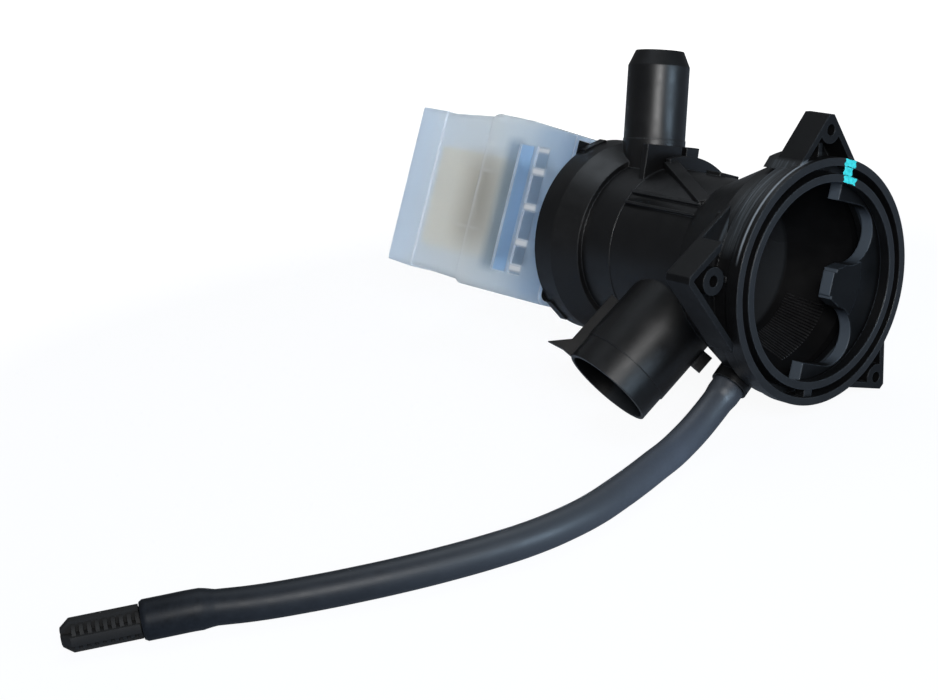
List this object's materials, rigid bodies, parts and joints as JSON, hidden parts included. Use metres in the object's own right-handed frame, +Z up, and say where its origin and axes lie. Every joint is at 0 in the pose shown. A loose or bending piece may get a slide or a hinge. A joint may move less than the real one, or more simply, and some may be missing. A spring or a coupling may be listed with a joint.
{
  "type": "washer drain pump",
  "caption": "Washing machine drain pump: black filter housing with inlet and outlet spigots, translucent motor cover and a plugged drain hose",
  "frame": {"origin": "centre of the filter port's front rim face, on the pump axis", "axes": "+Y runs along the pump axis from the filter port to the motor, +Z is up as the pump lies on a table, +X is to the right seen from the filter port"},
  "size_m": [0.3353, 0.2098, 0.1217],
  "materials": {
    "housing": "satin black moulding",
    "sleeve": "satin black moulding",
    "seal": "moulded rubber",
    "flange": "natural moulding",
    "bush": null,
    "frame": "cream moulding",
    "core": "stamped stack",
    "rivet": "drawn steel",
    "bobbin": "natural moulding",
    "winding": "taped enamelled wire",
    "tab": "stamped tab",
    "lead": "enamelled wire",
    "cover": "milky translucent moulding",
    "hose": "smooth rubber",
    "shaft": "ground steel",
    "rotor_plastic": "natural moulding",
    "magnet": null,
    "washer": "slippery plastic",
    "dog": "moulding",
    "impeller": "natural moulding",
    "plug": "moulded rubber"
  },
  "bodies": {
    "pump": {"filter_housing": "housing", "filter_sleeve": "sleeve", "volute_housing": "housing", "volute_seal": "seal", "motor_flange": "flange", "front_cushion": "seal", "front_bearing": "bush", "rear_cushion": "seal", "rear_bearing": "bush", "stator_frame": "frame", "stator_core": "core", "core_rivets": "rivet", "upper_bobbin": "bobbin", "lower_bobbin": "bobbin", "upper_winding": "winding", "lower_winding": "winding", "terminal_block": "bobbin", "terminal_tabs": "tab", "coil_leads": "lead", "motor_cover": "cover", "drain_hose": "hose"},
    "rotor": {"rotor_shaft": "shaft", "rotor_core": "rotor_plastic", "rotor_magnet": "magnet", "thrust_washers": "washer", "drive_dog": "dog", "impeller_clip": "shaft"},
    "impeller": {"impeller": "impeller"},
    "plug": {"hose_plug": "plug"}
  },
  "joints": [
    {"name": "rotor_spin", "type": "hinge", "parent": "pump", "child": "rotor", "pos_m": [0, 0.15, 0], "axis": [0, 1, 0], "continuous": true},
    {"name": "impeller_play", "type": "hinge", "parent": "rotor", "child": "impeller", "pos_m": [0, 0.095, 0], "axis": [0, 1, 0], "range_deg": [-128, 128]},
    {"name": "plug_pull", "type": "slide", "parent": "pump", "child": "plug", "axis": [-0.8678, 0.4959, -0.031], "range_m": [0, 0.02]}
  ]
}
